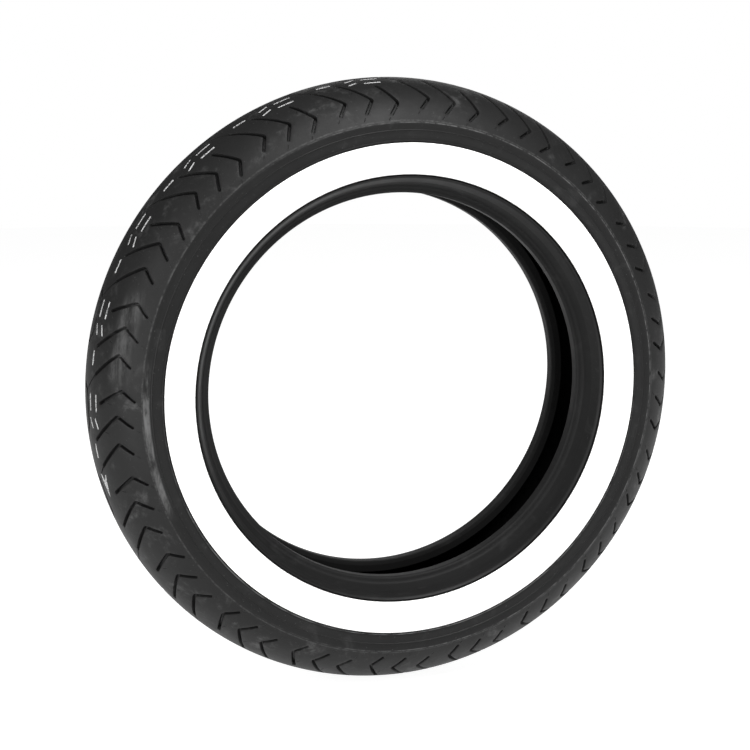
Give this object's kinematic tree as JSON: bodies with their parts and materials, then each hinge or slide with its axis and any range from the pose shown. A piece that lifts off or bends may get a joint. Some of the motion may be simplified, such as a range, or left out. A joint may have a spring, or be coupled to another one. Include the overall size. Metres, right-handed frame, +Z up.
{
  "type": "motorcycle tire",
  "caption": "Motorcycle tire with a round crown, slanted tread grooves, a wide white sidewall band and wire beads that seat on a 16 inch rim.",
  "frame": {"origin": "centre of the tire, on the wheel axis, halfway between the two sidewalls", "axes": "+Y along the wheel axis towards the left side of the machine, +Z up, +X forward; the right side faces -Y"},
  "size_m": [0.64, 0.145, 0.6398],
  "materials": {
    "tread_rubber": "worn matte black rubber with grey scuffs",
    "sidewall_rubber": "satin black rubber",
    "white_rubber": "clean satin white rubber",
    "bead_rubber": "smooth black rubber",
    "liner_rubber": "dull black rubber",
    "ply_cord": "rubber-coated cord fabric",
    "belt_cord": "rubber-coated belt cords",
    "bead_wire": "bronze-plated steel wire"
  },
  "bodies": {
    "root": {"tread_cap": "tread_rubber", "tread_base": "tread_rubber", "cap_ply": "belt_cord", "belt_outer": "belt_cord", "belt_inner": "belt_cord", "body_ply_outer": "ply_cord", "body_ply_inner": "ply_cord", "inner_liner": "liner_rubber", "tread_wing_left": "sidewall_rubber", "tread_wing_right": "sidewall_rubber", "belt_cushion_left": "bead_rubber", "belt_cushion_right": "bead_rubber", "sidewall_left": "sidewall_rubber", "sidewall_right": "sidewall_rubber", "white_band_left": "white_rubber", "white_band_right": "white_rubber", "bead_filler_left": "bead_rubber", "bead_filler_right": "bead_rubber", "bead_wires_left": "bead_wire", "bead_wires_right": "bead_wire", "bead_rubber_left": "bead_rubber", "bead_rubber_right": "bead_rubber", "bead_wrap_left": "ply_cord", "bead_wrap_right": "ply_cord", "chafer_left": "bead_rubber", "chafer_right": "bead_rubber", "toe_strip_left": "bead_rubber", "toe_strip_right": "bead_rubber"}
  },
  "joints": []
}
